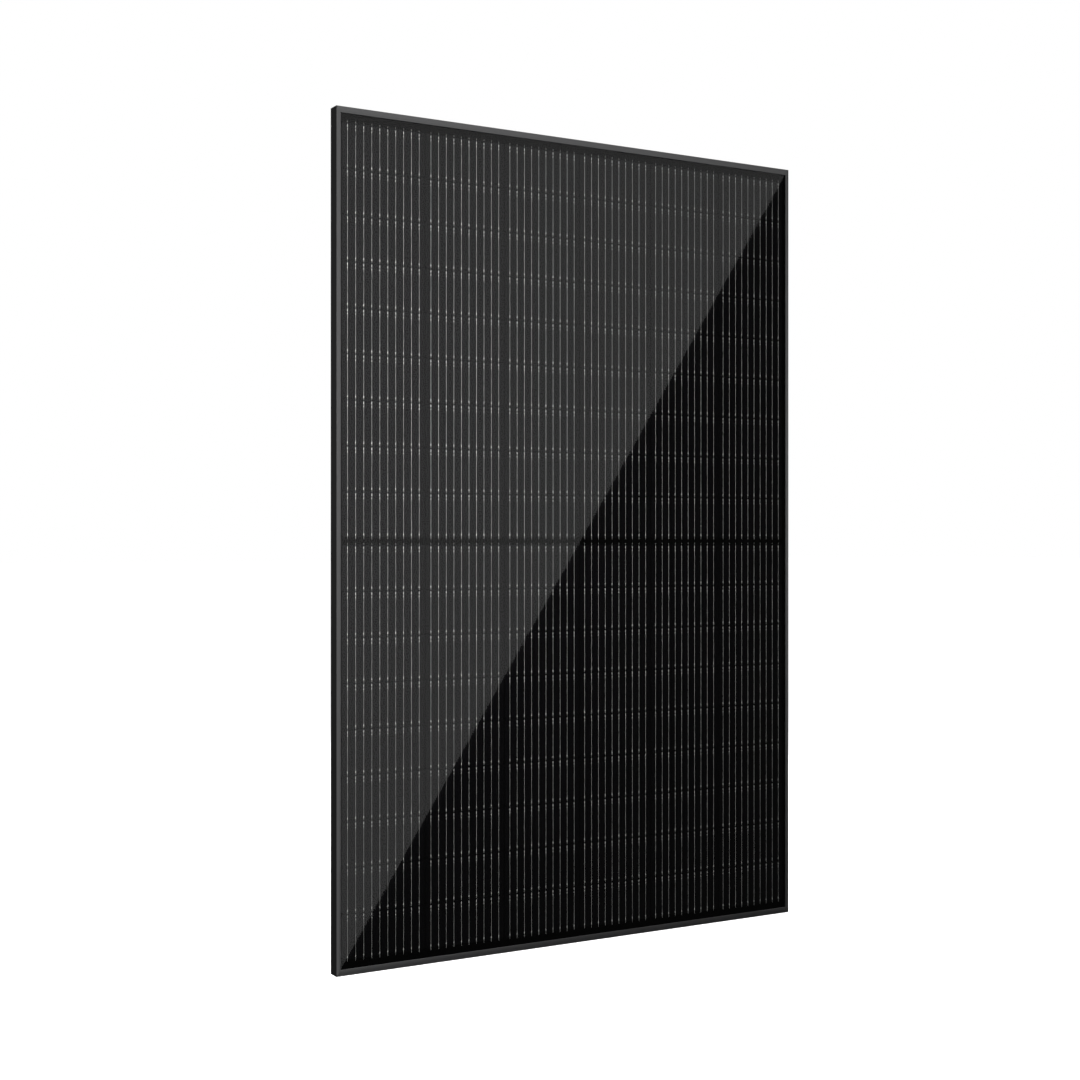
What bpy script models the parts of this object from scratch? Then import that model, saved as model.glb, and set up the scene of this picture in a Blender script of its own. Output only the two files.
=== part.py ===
"""A framed solar module of half-cut cells, modelled piece by piece.

The module stands upright with its glass towards -Y: width along X, height along Z,
and the frame's lower edge on Z = 0. Pieces hang from the empty "module", which sits on
the frame's front plane, so under it Y is the depth behind the front of the frame.
Left and right are as seen from the front.
"""

import math

import bmesh
import bpy
from mathutils import Vector

MM = 0.001

# Module
MODULE_WIDTH = 1134 * MM
MODULE_HEIGHT = 1722 * MM
MODULE_DEPTH = 30 * MM

# Frame rails: a lip over the glass, a channel for the laminate, a hollow chamber, a rear flange
FRAME_WALL = 1.4 * MM
SIDE_LIP = 9 * MM
END_LIP = 13 * MM
LIP_THICKNESS = 1.7 * MM
LIP_SLOPE_SHARE = 0.6
LIP_SLOPE_DROP = 0.8 * MM
EDGE_RADIUS = 0.6 * MM
EDGE_STEPS = 3
CHANNEL_DEPTH = 6.3 * MM
CHAMBER_WIDTH = 9 * MM
FLANGE_THICKNESS = 1.5 * MM
SIDE_FLANGE = 30 * MM
END_FLANGE = 18 * MM
MITRE_SETBACK = 0.1 * MM

# Holes in the rear flange, as distances from a rail's middle and from its outer face
SLOT_FROM_OUTSIDE = 19 * MM
OUTER_SLOT_AT, OUTER_SLOT_SIZE = 700 * MM, (14 * MM, 9 * MM)
INNER_SLOT_AT, INNER_SLOT_SIZE = 395 * MM, (10 * MM, 7 * MM)
EARTH_HOLE_AT, EARTH_HOLE_DIAMETER = 550 * MM, 4.2 * MM
DRAIN_SLOT_AT, DRAIN_SLOT_SIZE = 500 * MM, (8 * MM, 3.5 * MM)
DRAIN_FROM_OUTSIDE = 13.5 * MM

# Corner keys
KEY_CLEARANCE = 0.3 * MM
KEY_ARM = 45 * MM
KEY_NECK = 3.2 * MM
KEY_TEETH = 5
KEY_TEETH_MARGIN = 1 * MM
KEY_TOOTH_HEIGHT = 0.25 * MM

# Laminate, front to back, and the seal round its edge
EDGE_TO_LAMINATE = 3 * MM
EDGE_TO_SEAL_END = 8.5 * MM
LAMINATE_FRONT = 2.45 * MM
LAYER_GAP = 0.05 * MM
LAYER_THICKNESS = {
    "front_glass": 3.2 * MM,
    "front_encapsulant": 0.45 * MM,
    "cells": 0.25 * MM,
    "rear_encapsulant": 0.45 * MM,
    "backsheet": 0.3 * MM,
}

# Cells: half-cut, in strings of nine above and nine below the middle of the module
COLUMNS = 6
CELLS_IN_STRING = 9
CELL_WIDTH = 182 * MM
CELL_HEIGHT = 91 * MM
COLUMN_GAP = 2.76 * MM
CELL_GAP = 0.56 * MM
MIDDLE_GAP = 15.4 * MM
CELL_GROOVE = 0.08 * MM

# Bus ribbons
RIBBON_WIDTH = 6 * MM
RIBBON_INSET = 8 * MM
END_RIBBON_FROM_OUTSIDE = 22 * MM
TAIL_THICKNESS = 0.3 * MM
TAIL_FROM_BOX = 12 * MM
RIBBON_PAST_TAIL = 2 * MM
TAIL_END_DEPTH = 15 * MM

# Junction boxes, each over a gap between two columns at the middle of the module
BOX_COLUMN_EDGES = {"left": 1, "centre": 3, "right": 5}
BOX_HALF_X = 43 * MM
BOX_HALF_Z = 28 * MM
BOX_CORNER = 6 * MM
BOX_WALL = 2.2 * MM
BOX_FRONT = 8.4 * MM
BOX_FLOOR = 2 * MM
BOX_RIM_DEPTH = 21.4 * MM
BOX_EDGE_BEVEL = 0.8 * MM
SMALLEST_CORNER = 1 * MM
ADHESIVE_INSET = 1.8 * MM
ADHESIVE_WIDTH = 10 * MM
RIBBON_OPENING = (13.4 * MM, 4.5 * MM)
SHEET_OPENING = (15 * MM, 5 * MM)

# Lids
LID_THICKNESS = 2 * MM
LID_GAP = 0.1 * MM
LID_PANEL_INSET = 9 * MM
LID_PANEL_RISE = 0.7 * MM
SKIRT_CLEARANCE = 0.3 * MM
SKIRT_THICKNESS = 1.5 * MM
SKIRT_DEPTH = 3 * MM

# Terminals and bypass diodes
TERMINAL_THICKNESS = 0.8 * MM
TERMINAL_FROM, TERMINAL_TO = 12.5 * MM, 26 * MM
TERMINAL_LOW, TERMINAL_HIGH = -5 * MM, 16 * MM
TAB_INSET = 0.2 * MM
TAB_HALF_WIDTH = 3 * MM
DIODE_HALF_LENGTH = 6 * MM
DIODE_HALF_WIDTH = 4 * MM
DIODE_THICKNESS = 5.4 * MM
DIODE_Z = 12 * MM
LEAD_HALF_WIDTH = 1 * MM
LEAD_REACH = 23 * MM
LEAD_GAP = 0.1 * MM

# Cable glands, on the outer end walls of the two outer boxes
GLAND_DEPTH = 15.5 * MM
CABLE_BORE = 3.1 * MM
GLAND_TUBE = 4.8 * MM
GLAND_HOLE = 5 * MM
GLAND_APOTHEM = 6.4 * MM
GLAND_FLANGE_THICKNESS = 2.5 * MM
GLAND_TUBE_LENGTH = 8.2 * MM
SEAL_SEAT = 4.2 * MM
SEAL_LENGTH = 4.3 * MM
NUT_LENGTH = 12 * MM
NUT_END_WALL = 2.2 * MM
NUT_CHAMFER = 0.5 * MM
NUT_ROUNDING = 1 * MM
NUT_HOLE = 3.2 * MM

GAP = 0.05 * MM  # between flat faces that rest on each other
ROUND_GAP = 0.3 * MM  # between round or fitted surfaces
CUT_MARGIN = 1 * MM
ROUND_POINTS = 24
CORNER_STEPS = 4
SMOOTH_ANGLE = math.radians(35)

AXES = {"x": Vector((1, 0, 0)), "y": Vector((0, 1, 0)), "z": Vector((0, 0, 1))}


# ---------------------------------------------------------------- scene and materials


def clear_scene():
    for thing in list(bpy.data.objects):
        bpy.data.objects.remove(thing, do_unlink=True)


def make_material(name, colour, roughness, metallic=0.0, alpha=1.0):
    material = bpy.data.materials.new(name)
    material.use_nodes = True
    shader = material.node_tree.nodes["Principled BSDF"]
    shader.inputs["Base Color"].default_value = (*colour, 1.0)
    shader.inputs["Roughness"].default_value = roughness
    shader.inputs["Metallic"].default_value = metallic
    shader.inputs["Alpha"].default_value = alpha
    material.diffuse_color = (*colour, alpha)
    return material


def make_materials():
    return {
        "frame": make_material("black_anodised", (0.035, 0.035, 0.038), 0.35, metallic=0.8),
        "key": make_material("mill_aluminium", (0.6, 0.61, 0.62), 0.4, metallic=1.0),
        "seal": make_material("black_silicone", (0.015, 0.015, 0.015), 0.7),
        "glass": make_material("tempered_glass", (0.05, 0.06, 0.06), 0.08, alpha=0.35),
        "encapsulant": make_material("clear_encapsulant", (0.6, 0.6, 0.58), 0.4, alpha=0.3),
        "cell": make_material("mono_cell", (0.008, 0.009, 0.014), 0.3),
        "ribbon": make_material("tinned_copper", (0.62, 0.62, 0.6), 0.3, metallic=1.0),
        "backsheet": make_material("black_backsheet", (0.02, 0.02, 0.021), 0.6),
        "housing": make_material("black_housing", (0.018, 0.018, 0.019), 0.5),
        "diode": make_material("diode_epoxy", (0.03, 0.03, 0.03), 0.45),
    }


def add_empty(name, parent=None, location=(0, 0, 0), turn=0.0):
    empty = bpy.data.objects.new(name, None)
    empty.parent = parent
    empty.location = location
    empty.rotation_euler = (0, turn, 0)
    bpy.context.scene.collection.objects.link(empty)
    return empty


def add_object(name, mesh, material, parent, location=(0, 0, 0), turn=0.0):
    """A named object under its parent, turned about Y."""
    piece = bpy.data.objects.new(name, mesh)
    piece.parent = parent
    piece.location = location
    piece.rotation_euler = (0, turn, 0)
    if material and not mesh.materials:
        mesh.materials.append(material)
    bpy.context.scene.collection.objects.link(piece)
    return piece


# ---------------------------------------------------------------- outlines


def rectangle(low_u, high_u, low_v, high_v):
    return [(low_u, low_v), (high_u, low_v), (high_u, high_v), (low_u, high_v)]


def arc(centre, radius, start, end, steps):
    """Points on an arc from the angle start to the angle end, both included."""
    angles = [start + (end - start) * step / steps for step in range(steps + 1)]
    return [(centre[0] + radius * math.cos(a), centre[1] + radius * math.sin(a)) for a in angles]


def rounded_rectangle(half_u, half_v, radius):
    """A rectangle round the origin, with CORNER_STEPS steps to each corner."""
    points = []
    for quarter, (side_u, side_v) in enumerate([(1, 1), (-1, 1), (-1, -1), (1, -1)]):
        centre = (side_u * (half_u - radius), side_v * (half_v - radius))
        start = quarter * math.pi / 2
        points += arc(centre, radius, start, start + math.pi / 2, CORNER_STEPS)
    return points


def slot_outline(centre, size):
    """A slot with round ends; a slot as long as it is wide is a round hole."""
    half_run = (size[0] - size[1]) / 2
    radius = size[1] / 2
    steps = ROUND_POINTS // 4
    right = arc((centre[0] + half_run, centre[1]), radius, -math.pi / 2, math.pi / 2, steps)
    left = arc((centre[0] - half_run, centre[1]), radius, math.pi / 2, 3 * math.pi / 2, steps)
    if half_run == 0:
        return right[:-1] + left[:-1]
    return right + left


def circle(radius):
    turns = [2 * math.pi * i / ROUND_POINTS for i in range(ROUND_POINTS)]
    return [(radius * math.cos(turn), radius * math.sin(turn)) for turn in turns]


def hexagon(apothem, most=math.inf):
    """A hexagon with as many points as a circle, its corners held inside the radius most."""
    points = []
    for i in range(ROUND_POINTS):
        turn = 2 * math.pi * i / ROUND_POINTS
        from_flat = (turn + math.pi / 6) % (math.pi / 3) - math.pi / 6
        radius = min(apothem / math.cos(from_flat), most)
        points.append((radius * math.cos(turn), radius * math.sin(turn)))
    return points


# ---------------------------------------------------------------- solids


def mesh_from(name, bm, smooth=False):
    bmesh.ops.recalc_face_normals(bm, faces=bm.faces[:])
    mesh = bpy.data.meshes.new(name)
    bm.to_mesh(mesh)
    bm.free()
    if smooth:
        mesh.shade_smooth()
        mesh.set_sharp_from_angle(angle=SMOOTH_ANGLE)
    return mesh


def fill_and_extrude(bm, loops, low, high, axes):
    """Extrude loops of (axes[0], axes[1]) along axes[2]: a loop inside another is a hole in it."""
    across, up, along = (AXES[axis] for axis in axes)
    edges = []
    for loop in loops:
        verts = [bm.verts.new(u * across + v * up + low * along) for u, v in loop]
        edges += [bm.edges.new(ends) for ends in zip(verts, verts[1:] + verts[:1])]
    bmesh.ops.triangle_fill(bm, use_beauty=True, edges=edges)
    grown = bmesh.ops.extrude_face_region(bm, geom=bm.faces[:])["geom"]
    far_end = [item for item in grown if isinstance(item, bmesh.types.BMVert)]
    bmesh.ops.translate(bm, vec=(high - low) * along, verts=far_end)


def prism(name, loops, low, high, axes="xzy"):
    bm = bmesh.new()
    fill_and_extrude(bm, loops, low, high, axes)
    return mesh_from(name, bm)


def skin(name, rings, closed, smooth=True):
    """A surface through rings of equally many points: a closed ring of them, or capped at both ends."""
    bm = bmesh.new()
    rows = [[bm.verts.new(point) for point in ring] for ring in rings]
    neighbours = list(zip(rows, rows[1:]))
    if closed:
        neighbours.append((rows[-1], rows[0]))
    else:
        bm.faces.new(rows[0])
        bm.faces.new(rows[-1])
    for row, after in neighbours:
        for i, corner in enumerate(row):
            j = (i + 1) % len(row)
            bm.faces.new((corner, row[j], after[j], after[i]))
    return mesh_from(name, bm, smooth)


def ring_at_depth(outline, depth):
    return [(u, depth, v) for u, v in outline]


def ring_at_x(outline, x):
    return [(x, u, v) for u, v in outline]


def add_boolean(piece, operation, mesh):
    """Cut or join piece with a hidden helper that stands in the same place."""
    helper = add_object(f"{piece.name}_{operation.lower()}", mesh, None, piece)
    helper.hide_render = True
    helper.display_type = "WIRE"
    modifier = piece.modifiers.new(operation.lower(), "BOOLEAN")
    modifier.operation = operation
    modifier.solver = "EXACT"
    modifier.object = helper


# ---------------------------------------------------------------- frame


def rail_loops(lip, flange):
    """A rail's section as (inward, depth) points: its outside, then its hollow chamber."""
    r = EDGE_RADIUS
    shelf = LIP_THICKNESS + CHANNEL_DEPTH
    flange_front = MODULE_DEPTH - FLANGE_THICKNESS
    down, left, up, right = (quarter * math.pi / 2 for quarter in (1, 2, 3, 4))
    outside = [(LIP_SLOPE_SHARE * lip, 0)]
    outside += arc((lip - r, r), r, up, right, EDGE_STEPS)
    outside += [(lip, LIP_THICKNESS), (FRAME_WALL, LIP_THICKNESS), (FRAME_WALL, shelf)]
    outside += [(CHAMBER_WIDTH, shelf), (CHAMBER_WIDTH, flange_front)]
    outside += [(flange, flange_front), (flange, MODULE_DEPTH)]
    outside += arc((r, MODULE_DEPTH - r), r, down, left, EDGE_STEPS)
    outside += arc((r, LIP_SLOPE_DROP + r), r, left, up, EDGE_STEPS)
    chamber = rectangle(
        FRAME_WALL,
        CHAMBER_WIDTH - FRAME_WALL,
        shelf + FRAME_WALL,
        flange_front,
    )
    return [outside, chamber]


def rail_mesh(name, length, lip, other_lip, flange):
    """A rail lying along X with its outer face on Z = 0, mitred from outer corner to lip corner."""
    bm = bmesh.new()
    half = length / 2 - MITRE_SETBACK
    fill_and_extrude(bm, rail_loops(lip, flange), -half, half, "zyx")
    for vert in bm.verts:
        cut_back = vert.co.z * other_lip / lip
        vert.co.x -= math.copysign(cut_back, vert.co.x)
    return mesh_from(name, bm)


def flange_holes(name, holes):
    """Cutters through the rear flange, one for each (distance, inward, size) and its mirror image."""
    outlines = [
        slot_outline((side * distance, inward), size)
        for distance, inward, size in holes
        for side in (-1, 1)
    ]
    low = MODULE_DEPTH - FLANGE_THICKNESS - CUT_MARGIN
    return prism(name, outlines, low, MODULE_DEPTH + CUT_MARGIN)


def build_rails(module, material):
    side = rail_mesh("side_rail", MODULE_HEIGHT, SIDE_LIP, END_LIP, SIDE_FLANGE)
    end = rail_mesh("end_rail", MODULE_WIDTH, END_LIP, SIDE_LIP, END_FLANGE)
    side_holes = flange_holes(
        "side_rail_holes",
        [
            (OUTER_SLOT_AT, SLOT_FROM_OUTSIDE, OUTER_SLOT_SIZE),
            (INNER_SLOT_AT, SLOT_FROM_OUTSIDE, INNER_SLOT_SIZE),
            (EARTH_HOLE_AT, SLOT_FROM_OUTSIDE, (EARTH_HOLE_DIAMETER, EARTH_HOLE_DIAMETER)),
        ],
    )
    end_holes = flange_holes(
        "end_rail_holes", [(DRAIN_SLOT_AT, DRAIN_FROM_OUTSIDE, DRAIN_SLOT_SIZE)]
    )
    edge_x, middle_z = MODULE_WIDTH / 2, MODULE_HEIGHT / 2
    places = {
        "left": (side, side_holes, (-edge_x, 0, middle_z), math.pi / 2),
        "right": (side, side_holes, (edge_x, 0, middle_z), -math.pi / 2),
        "top": (end, end_holes, (0, 0, MODULE_HEIGHT), math.pi),
        "bottom": (end, end_holes, (0, 0, 0), 0),
    }
    for where, (mesh, holes, location, turn) in places.items():
        rail = add_object(f"frame_rail_{where}", mesh, material, module, location, turn)
        add_boolean(rail, "DIFFERENCE", holes)


def key_outline():
    """A corner key's L in (across, up): necked at the bend, toothed along the outside of each arm."""
    near = FRAME_WALL + KEY_CLEARANCE
    far = CHAMBER_WIDTH - FRAME_WALL - KEY_CLEARANCE
    neck = near + KEY_NECK
    neck_end = CHAMBER_WIDTH + KEY_CLEARANCE
    first, last = CHAMBER_WIDTH + KEY_TEETH_MARGIN, KEY_ARM - KEY_TEETH_MARGIN
    pitch = (last - first) / KEY_TEETH
    arm = [(neck_end, neck), (neck_end, far), (KEY_ARM, far), (KEY_ARM, near)]
    for tooth in reversed(range(KEY_TEETH)):
        start = first + tooth * pitch
        arm += [(start + pitch, near), (start, near - KEY_TOOTH_HEIGHT), (start, near)]
    other_arm = [(v, u) for u, v in reversed(arm)]
    return [(neck, neck), *arm, (near, near), *other_arm]


def build_corner_keys(module, material):
    shelf_back = LIP_THICKNESS + CHANNEL_DEPTH + FRAME_WALL
    low = shelf_back + KEY_CLEARANCE
    high = MODULE_DEPTH - FLANGE_THICKNESS - KEY_CLEARANCE
    mesh = prism("corner_key", [key_outline()], low, high)
    edge_x = MODULE_WIDTH / 2
    places = {
        "bottom_left": ((-edge_x, 0, 0), 0),
        "bottom_right": ((edge_x, 0, 0), -math.pi / 2),
        "top_right": ((edge_x, 0, MODULE_HEIGHT), math.pi),
        "top_left": ((-edge_x, 0, MODULE_HEIGHT), math.pi / 2),
    }
    for where, (location, turn) in places.items():
        add_object(f"corner_key_{where}", mesh, material, module, location, turn)


def frame_ring(inward, depth):
    """The four corners of a rectangle set in from the frame's outer faces."""
    edge_x = MODULE_WIDTH / 2 - inward
    low, high = inward, MODULE_HEIGHT - inward
    return [(-edge_x, depth, low), (edge_x, depth, low), (edge_x, depth, high), (-edge_x, depth, high)]


def build_edge_seal(module, material, layers):
    """The silicone seal: a U section that wraps the laminate's edge inside the frame channel."""
    outer = FRAME_WALL + GAP
    web = EDGE_TO_LAMINATE - GAP
    front = LIP_THICKNESS + GAP
    back = LIP_THICKNESS + CHANNEL_DEPTH - GAP
    laminate_front = LAMINATE_FRONT - GAP
    laminate_back = layers["backsheet"][1] + GAP
    section = [
        (outer, front),
        (EDGE_TO_SEAL_END, front),
        (EDGE_TO_SEAL_END, laminate_front),
        (web, laminate_front),
        (web, laminate_back),
        (EDGE_TO_SEAL_END, laminate_back),
        (EDGE_TO_SEAL_END, back),
        (outer, back),
    ]
    mesh = skin("edge_seal", [frame_ring(*point) for point in section], True, smooth=False)
    add_object("edge_seal", mesh, material, module)


# ---------------------------------------------------------------- laminate


def laminate_layers():
    """Front and back depth of every layer of the laminate."""
    layers = {}
    front = LAMINATE_FRONT
    for layer, thickness in LAYER_THICKNESS.items():
        layers[layer] = (front, front + thickness)
        front += thickness + LAYER_GAP
    return layers


def column_left(column):
    whole = COLUMNS * CELL_WIDTH + (COLUMNS - 1) * COLUMN_GAP
    return -whole / 2 + column * (CELL_WIDTH + COLUMN_GAP)


def box_x(where):
    """The middle of the gap before the column that the box's position counts to."""
    return column_left(BOX_COLUMN_EDGES[where]) - COLUMN_GAP / 2


def build_sheets(module, materials, layers):
    low_x, high_x = EDGE_TO_LAMINATE - MODULE_WIDTH / 2, MODULE_WIDTH / 2 - EDGE_TO_LAMINATE
    sheet = rectangle(low_x, high_x, EDGE_TO_LAMINATE, MODULE_HEIGHT - EDGE_TO_LAMINATE)
    openings = []
    for where in BOX_COLUMN_EDGES:
        opening = rectangle(-SHEET_OPENING[0], SHEET_OPENING[0], -SHEET_OPENING[1], SHEET_OPENING[1])
        openings.append([(u + box_x(where), v + MODULE_HEIGHT / 2) for u, v in opening])
    sheets = {
        "front_glass": ([sheet], "glass"),
        "front_encapsulant": ([sheet], "encapsulant"),
        "rear_encapsulant": ([sheet, *openings], "encapsulant"),
        "backsheet": ([sheet, *openings], "backsheet"),
    }
    for name, (loops, material) in sheets.items():
        add_object(name, prism(name, loops, *layers[name]), materials[material], module)


def string_outline(front, back):
    """A string's section as (up, depth): nine cells, with a groove in the front where two meet."""
    points = [(0, back), (0, front)]
    for cell in range(1, CELLS_IN_STRING):
        top = cell * CELL_HEIGHT + (cell - 1) * CELL_GAP
        groove = front + CELL_GROOVE
        points += [(top, front), (top, groove), (top + CELL_GAP, groove), (top + CELL_GAP, front)]
    length = string_length()
    return points + [(length, front), (length, back)]


def string_length():
    return CELLS_IN_STRING * CELL_HEIGHT + (CELLS_IN_STRING - 1) * CELL_GAP


def build_cell_strings(module, material, layers):
    outline = string_outline(*layers["cells"])
    mesh = prism("cell_string", [outline], 0, CELL_WIDTH, axes="zyx")
    starts = {
        "upper": (MODULE_HEIGHT + MIDDLE_GAP) / 2,
        "lower": (MODULE_HEIGHT - MIDDLE_GAP) / 2 - string_length(),
    }
    for half, start in starts.items():
        for column in range(COLUMNS):
            location = (column_left(column), 0, start)
            add_object(f"cell_string_{half}_{column + 1}", mesh, material, module, location)


def ribbon_outline(low, high, tails, front, back):
    """A ribbon from above as (across, depth), with a tail bent back at each tail position."""
    points = [(low, back), (low, front), (high, front), (high, back)]
    for tail in sorted(tails, reverse=True):
        right, left = tail + TAIL_THICKNESS / 2, tail - TAIL_THICKNESS / 2
        points += [(right, back), (right, TAIL_END_DEPTH), (left, TAIL_END_DEPTH), (left, back)]
    return points


def add_ribbon(name, module, material, outline, middle_z):
    half = RIBBON_WIDTH / 2
    mesh = prism(name, [outline], -half, half, axes="xyz")
    add_object(name, mesh, material, module, (0, 0, middle_z))


def build_ribbons(module, material, layers):
    front, back = layers["cells"]
    ends = {"top": MODULE_HEIGHT - END_RIBBON_FROM_OUTSIDE, "bottom": END_RIBBON_FROM_OUTSIDE}
    for where, z in ends.items():
        for pair in range(COLUMNS // 2):
            low = column_left(2 * pair) + RIBBON_INSET
            high = column_left(2 * pair + 1) + CELL_WIDTH - RIBBON_INSET
            outline = ribbon_outline(low, high, [], front, back)
            add_ribbon(f"bus_ribbon_{where}_{pair + 1}", module, material, outline, z)

    reach = TAIL_FROM_BOX - RIBBON_PAST_TAIL
    boxes = [box_x(where) for where in BOX_COLUMN_EDGES]
    lows = [column_left(0) + RIBBON_INSET, *(x + reach for x in boxes)]
    highs = [*(x - reach for x in boxes), -lows[0]]
    for number, (low, high) in enumerate(zip(lows, highs), start=1):
        tails = [x + side * TAIL_FROM_BOX for x in boxes for side in (-1, 1)]
        own_tails = [x for x in tails if low < x < high]
        outline = ribbon_outline(low, high, own_tails, front, back)
        add_ribbon(f"bus_ribbon_middle_{number}", module, material, outline, MODULE_HEIGHT / 2)


# ---------------------------------------------------------------- junction boxes


def box_ring(inset, depth):
    """The box's rounded outline, set in by inset."""
    corner = max(BOX_CORNER - inset, SMALLEST_CORNER)
    return ring_at_depth(rounded_rectangle(BOX_HALF_X - inset, BOX_HALF_Z - inset, corner), depth)


def opening_ring(depth):
    return ring_at_depth(rounded_rectangle(*RIBBON_OPENING, SMALLEST_CORNER), depth)


def box_base_mesh():
    """An open tray whose floor has the opening that the ribbon tails come through."""
    floor = BOX_FRONT + BOX_FLOOR
    rings = [
        opening_ring(BOX_FRONT),
        box_ring(BOX_EDGE_BEVEL, BOX_FRONT),
        box_ring(0, BOX_FRONT + BOX_EDGE_BEVEL),
        box_ring(0, BOX_RIM_DEPTH),
        box_ring(BOX_WALL, BOX_RIM_DEPTH),
        box_ring(BOX_WALL, floor),
        opening_ring(floor),
    ]
    return skin("box_base", rings, True)


def box_lid_mesh():
    """A lid with a skirt that drops inside the box's walls, its origin at the centre of its underside."""
    skirt_outside = BOX_WALL + SKIRT_CLEARANCE
    skirt_inside = skirt_outside + SKIRT_THICKNESS
    panel = LID_THICKNESS + LID_PANEL_RISE
    rings = [
        box_ring(skirt_inside, 0),
        box_ring(skirt_inside, -SKIRT_DEPTH),
        box_ring(skirt_outside, -SKIRT_DEPTH),
        box_ring(skirt_outside, 0),
        box_ring(0, 0),
        box_ring(0, LID_THICKNESS - BOX_EDGE_BEVEL),
        box_ring(BOX_EDGE_BEVEL, LID_THICKNESS),
        box_ring(LID_PANEL_INSET - LID_PANEL_RISE, LID_THICKNESS),
        box_ring(LID_PANEL_INSET, panel),
    ]
    return skin("box_lid", rings, False)


def adhesive_mesh(front):
    """The bead that bonds the box to the backsheet, all round the ribbon opening."""
    back = BOX_FRONT - GAP
    inside = ADHESIVE_INSET + ADHESIVE_WIDTH
    rings = [
        box_ring(ADHESIVE_INSET, front),
        box_ring(ADHESIVE_INSET, back),
        box_ring(inside, back),
        box_ring(inside, front),
    ]
    return skin("box_adhesive", rings, True)


def block(name, low_x, high_x, low_y, high_y, low_z, high_z):
    return prism(name, [rectangle(low_x, high_x, low_z, high_z)], low_y, high_y)


def add_terminal(name, box, material, turn):
    """A contact plate on the floor, with an upright tab that the ribbon tail is soldered to."""
    foot_front = BOX_FRONT + BOX_FLOOR + GAP
    foot_back = foot_front + TERMINAL_THICKNESS
    low, high = (TERMINAL_LOW, TERMINAL_HIGH) if turn == 0 else (-TERMINAL_HIGH, -TERMINAL_LOW)
    foot = block(name, TERMINAL_FROM, TERMINAL_TO, foot_front, foot_back, low, high)
    tab_from = TERMINAL_FROM + TAB_INSET
    tab = block(
        f"{name}_tab",
        tab_from,
        tab_from + TERMINAL_THICKNESS,
        foot_front + TERMINAL_THICKNESS / 2,
        TAIL_END_DEPTH,
        -TAB_HALF_WIDTH,
        TAB_HALF_WIDTH,
    )
    terminal = add_object(name, foot, material, box, turn=turn)
    add_boolean(terminal, "UNION", tab)


def add_diode(name, box, materials):
    """A flat diode body whose two leads lie over the terminals' feet."""
    foot_back = BOX_FRONT + BOX_FLOOR + GAP + TERMINAL_THICKNESS
    lead_front = foot_back + LEAD_GAP
    lead_back = lead_front + TERMINAL_THICKNESS
    body_front = lead_front - TERMINAL_THICKNESS / 2
    low, high = DIODE_Z - DIODE_HALF_WIDTH, DIODE_Z + DIODE_HALF_WIDTH
    body = block(
        name,
        -DIODE_HALF_LENGTH,
        DIODE_HALF_LENGTH,
        body_front,
        body_front + DIODE_THICKNESS,
        low,
        high,
    )
    leads = block(
        f"{name}_leads",
        -LEAD_REACH,
        LEAD_REACH,
        lead_front,
        lead_back,
        DIODE_Z - LEAD_HALF_WIDTH,
        DIODE_Z + LEAD_HALF_WIDTH,
    )
    diode = add_object(name, body, materials["diode"], box)
    add_boolean(diode, "UNION", leads)


def gland_meshes():
    """Gland body, seal and cap nut, turned round X, with X = 0 on the outside of the box's wall."""
    flange_end = ROUND_GAP + GLAND_FLANGE_THICKNESS
    tube_end = flange_end + GLAND_TUBE_LENGTH
    seat_start = tube_end - SEAL_LENGTH
    chamfered = hexagon(GLAND_APOTHEM, GLAND_APOTHEM + NUT_CHAMFER)
    body = [
        (circle(CABLE_BORE), -BOX_WALL + GAP),
        (circle(GLAND_TUBE - ROUND_GAP), -BOX_WALL + GAP),
        (circle(GLAND_TUBE - ROUND_GAP), ROUND_GAP),
        (chamfered, ROUND_GAP),
        (chamfered, flange_end),
        (circle(GLAND_TUBE), flange_end),
        (circle(GLAND_TUBE), tube_end),
        (circle(SEAL_SEAT), tube_end),
        (circle(SEAL_SEAT), seat_start),
        (circle(CABLE_BORE), seat_start),
    ]
    seal_start = seat_start + ROUND_GAP
    seal_end = seal_start + SEAL_LENGTH
    seal = [
        (circle(CABLE_BORE), seal_start),
        (circle(SEAL_SEAT - ROUND_GAP), seal_start),
        (circle(SEAL_SEAT - ROUND_GAP), seal_end),
        (circle(CABLE_BORE), seal_end),
    ]
    nut_bore = GLAND_TUBE + ROUND_GAP
    end_wall = NUT_LENGTH - NUT_END_WALL
    end_radius = GLAND_APOTHEM - NUT_ROUNDING
    nut = [
        (circle(nut_bore), 0),
        (chamfered, 0),
        (hexagon(GLAND_APOTHEM), NUT_CHAMFER),
        (hexagon(GLAND_APOTHEM), end_wall - 2 * NUT_ROUNDING),
        (circle(GLAND_APOTHEM), end_wall - NUT_ROUNDING),
        (circle(end_radius), NUT_LENGTH - NUT_CHAMFER),
        (circle(end_radius - NUT_CHAMFER), NUT_LENGTH),
        (circle(NUT_HOLE), NUT_LENGTH),
        (circle(NUT_HOLE), end_wall),
        (circle(nut_bore), end_wall),
    ]
    profiles = {"gland_body": body, "gland_seal": seal, "gland_nut": nut}
    return {
        name: skin(name, [ring_at_x(outline, x) for outline, x in rings], True)
        for name, rings in profiles.items()
    }


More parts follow.
